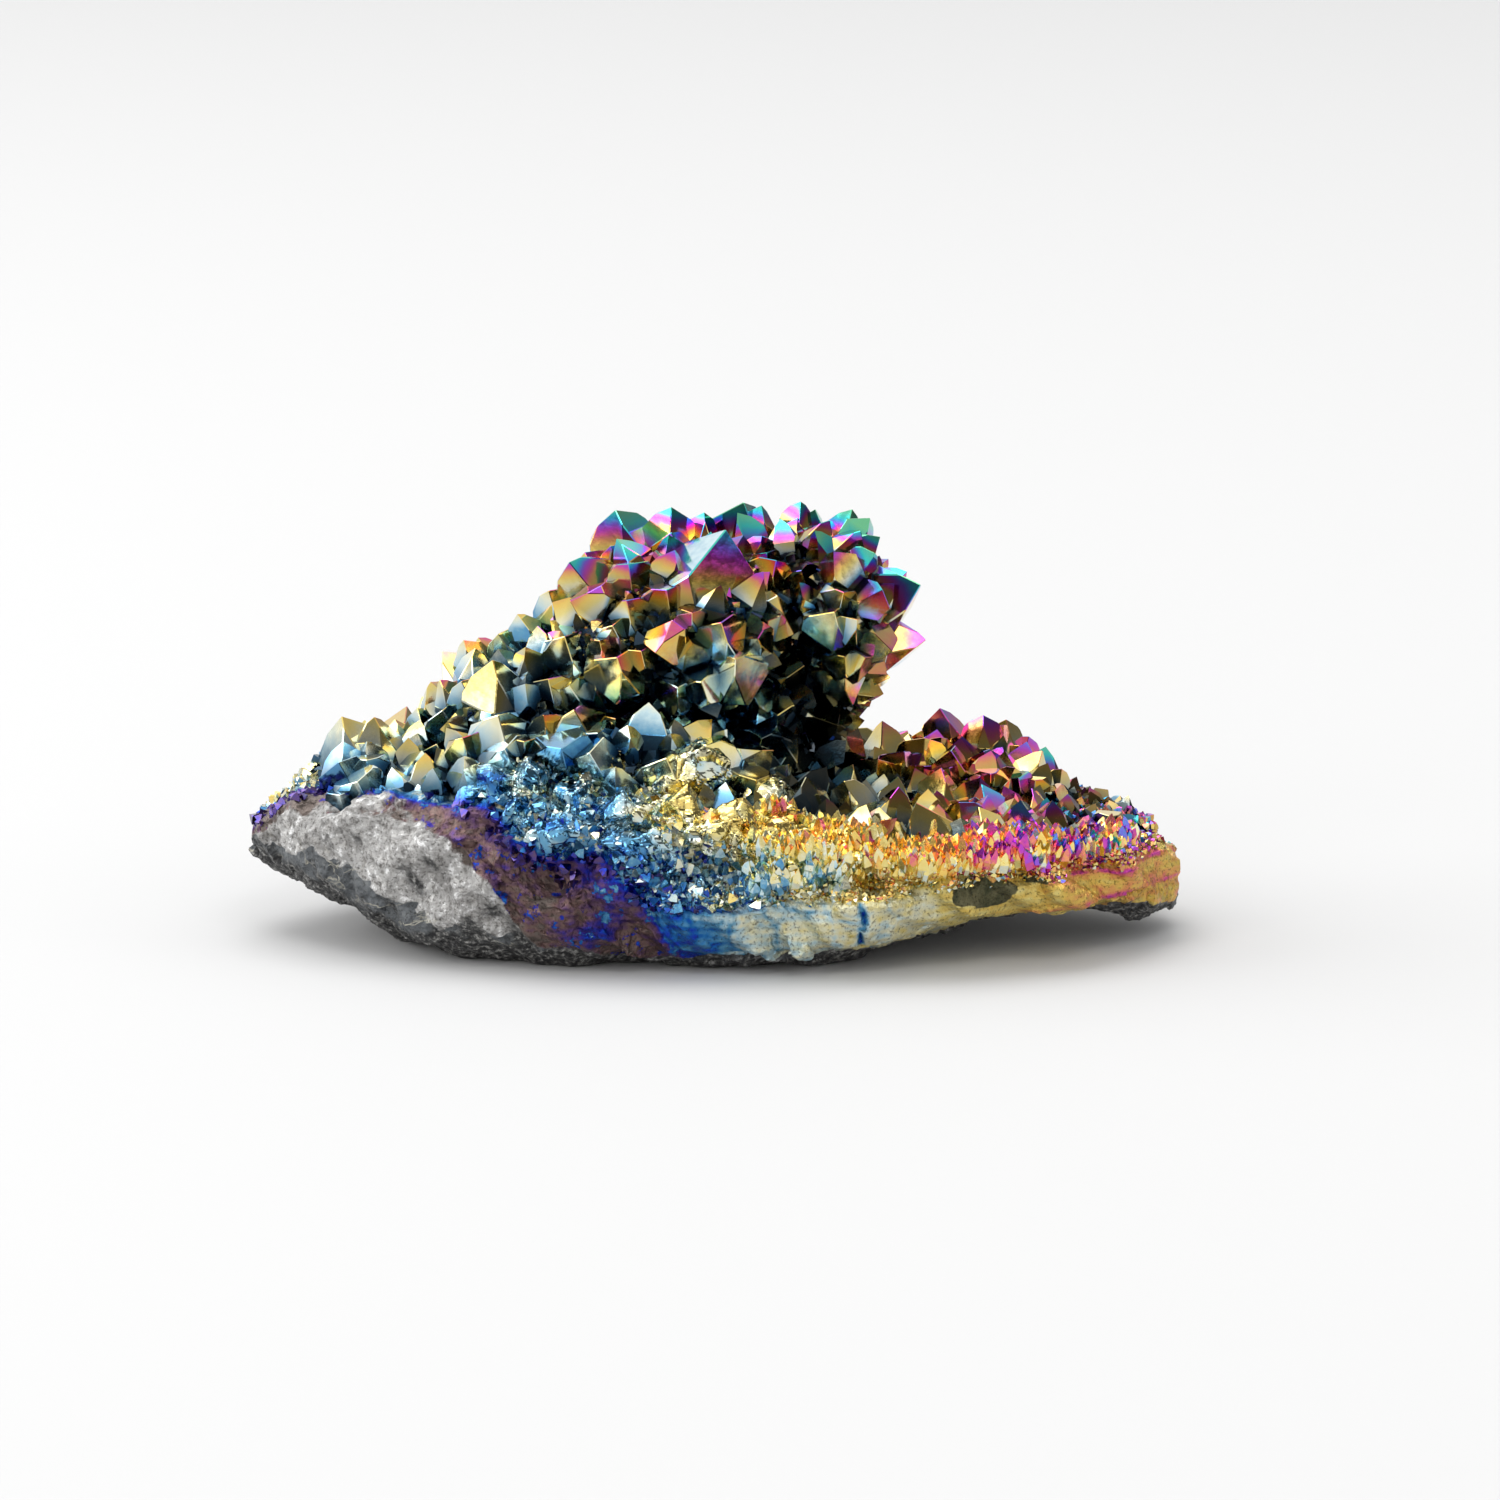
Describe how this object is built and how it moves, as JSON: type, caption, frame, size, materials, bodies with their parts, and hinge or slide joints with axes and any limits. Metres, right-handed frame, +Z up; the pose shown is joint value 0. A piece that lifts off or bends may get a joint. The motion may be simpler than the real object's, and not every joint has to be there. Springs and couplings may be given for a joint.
{
  "type": "titanium aura amethyst cluster",
  "caption": "Free-standing mineral specimen: quartz points grown over a boat-shaped slab of host rock and a mushroom-like lobe, with an iridescent metallic coat.",
  "frame": {"origin": "middle of the slab on the surface that it rests on", "axes": "+X along the slab towards its thin end, -Y towards the broken front face, +Z up"},
  "size_m": [0.1293, 0.0742, 0.0591],
  "materials": {
    "coated_crystal": "iridescent metallic titanium coat over quartz and host rock, partly bare"
  },
  "bodies": {
    "root": {"amethyst_cluster": "coated_crystal"}
  },
  "joints": []
}
